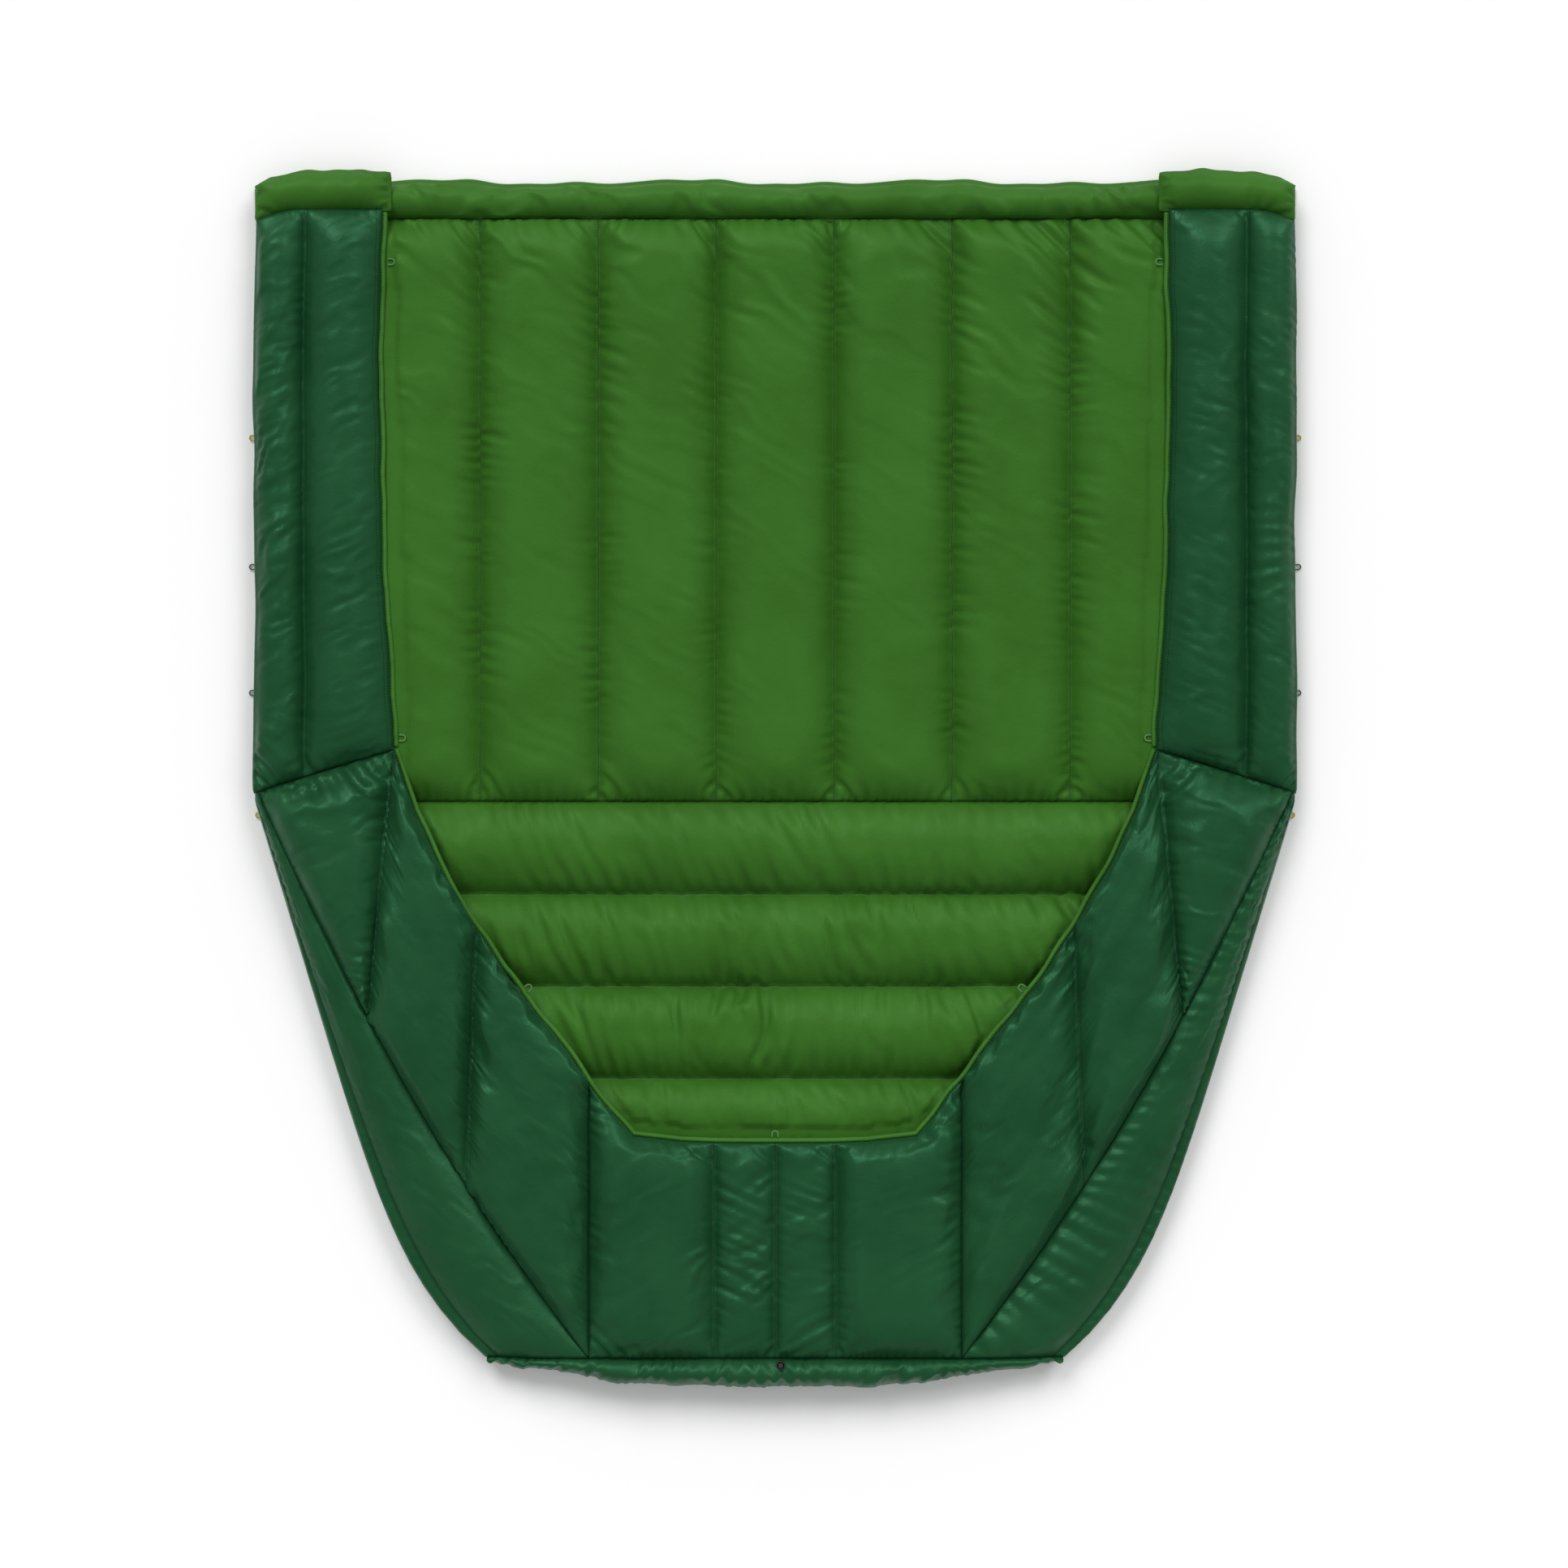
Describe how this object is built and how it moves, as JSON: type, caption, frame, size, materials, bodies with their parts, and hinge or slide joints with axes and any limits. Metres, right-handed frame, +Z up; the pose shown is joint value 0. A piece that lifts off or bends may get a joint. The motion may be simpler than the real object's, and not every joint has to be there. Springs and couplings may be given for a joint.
{
  "type": "camp quilt",
  "caption": "Two-person down camp quilt laid flat: light liner inside, dark shell, both sides folded over as flaps, closed foot box with a V-shaped mouth.",
  "frame": {"origin": "on the floor under the middle of the quilt's length and width", "axes": "+Y towards the head, +Z up off the floor, +X to the quilt's right seen from above with the head at the top"},
  "size_m": [1.6966, 1.95, 0.0923],
  "materials": {
    "liner_fabric": "satin nylon, light green",
    "shell_fabric": "glossy ripstop nylon, dark green",
    "edge_binding": "woven tape, light green",
    "yellow_cord": "braided cord, yellow",
    "green_cord": "braided cord, grey green",
    "lock_plastic": "satin black plastic",
    "spring_steel": "bright"
  },
  "bodies": {
    "root": {"back_chamber_1": "liner_fabric", "back_chamber_2": "liner_fabric", "back_chamber_3": "liner_fabric", "back_chamber_4": "liner_fabric", "back_chamber_5": "liner_fabric", "back_chamber_6": "liner_fabric", "back_chamber_7": "liner_fabric", "back_chamber_8": "liner_fabric", "back_chamber_9": "liner_fabric", "leg_chamber_1": "liner_fabric", "leg_chamber_2": "liner_fabric", "leg_chamber_3": "liner_fabric", "leg_chamber_4": "liner_fabric", "leg_chamber_5": "liner_fabric", "leg_chamber_6": "liner_fabric", "head_draft_tube": "liner_fabric", "left_front_middle": "shell_fabric", "left_front_shin": "shell_fabric", "left_front_knee": "shell_fabric", "left_front_thigh": "shell_fabric", "left_front_hip": "shell_fabric", "right_front_middle": "shell_fabric", "right_front_shin": "shell_fabric", "right_front_knee": "shell_fabric", "right_front_thigh": "shell_fabric", "right_front_hip": "shell_fabric", "left_side_gusset": "shell_fabric", "right_side_gusset": "shell_fabric", "foot_tube": "shell_fabric", "mouth_binding": "edge_binding", "left_side_loop_1": "yellow_cord", "left_side_loop_2": "green_cord", "left_side_loop_3": "green_cord", "left_side_loop_4": "yellow_cord", "right_side_loop_1": "yellow_cord", "right_side_loop_2": "green_cord", "right_side_loop_3": "green_cord", "right_side_loop_4": "yellow_cord", "left_mouth_tab": "edge_binding", "right_mouth_tab": "edge_binding", "mouth_bottom_tab": "edge_binding", "cord_lock_sleeve": "lock_plastic", "cord_lock_spring": "spring_steel"},
    "left_flap": {"left_flap_inner_chamber": "shell_fabric", "left_flap_outer_chamber": "shell_fabric", "left_flap_head_band": "liner_fabric", "left_flap_binding": "edge_binding", "left_flap_tab_1": "edge_binding", "left_flap_tab_2": "edge_binding"},
    "right_flap": {"right_flap_inner_chamber": "shell_fabric", "right_flap_outer_chamber": "shell_fabric", "right_flap_head_band": "liner_fabric", "right_flap_binding": "edge_binding", "right_flap_tab_1": "edge_binding", "right_flap_tab_2": "edge_binding"},
    "cord_lock_button": {"cord_lock_button": "lock_plastic"}
  },
  "joints": [
    {"name": "left_flap_fold", "type": "hinge", "parent": "root", "child": "left_flap", "pos_m": [-0.838, 0.48, 0.0343], "axis": [0, -1, 0], "range_deg": [0, 179]},
    {"name": "right_flap_fold", "type": "hinge", "parent": "root", "child": "right_flap", "pos_m": [0.838, 0.48, 0.0343], "axis": [0, 1, 0], "range_deg": [0, 179]},
    {"name": "cord_lock_press", "type": "slide", "parent": "root", "child": "cord_lock_button", "axis": [0, 0, -1], "range_m": [0, 0.003], "stiffness_N_per_m": 400, "springref_m": -0.002, "deforming": ["cord_lock_spring"]}
  ]
}
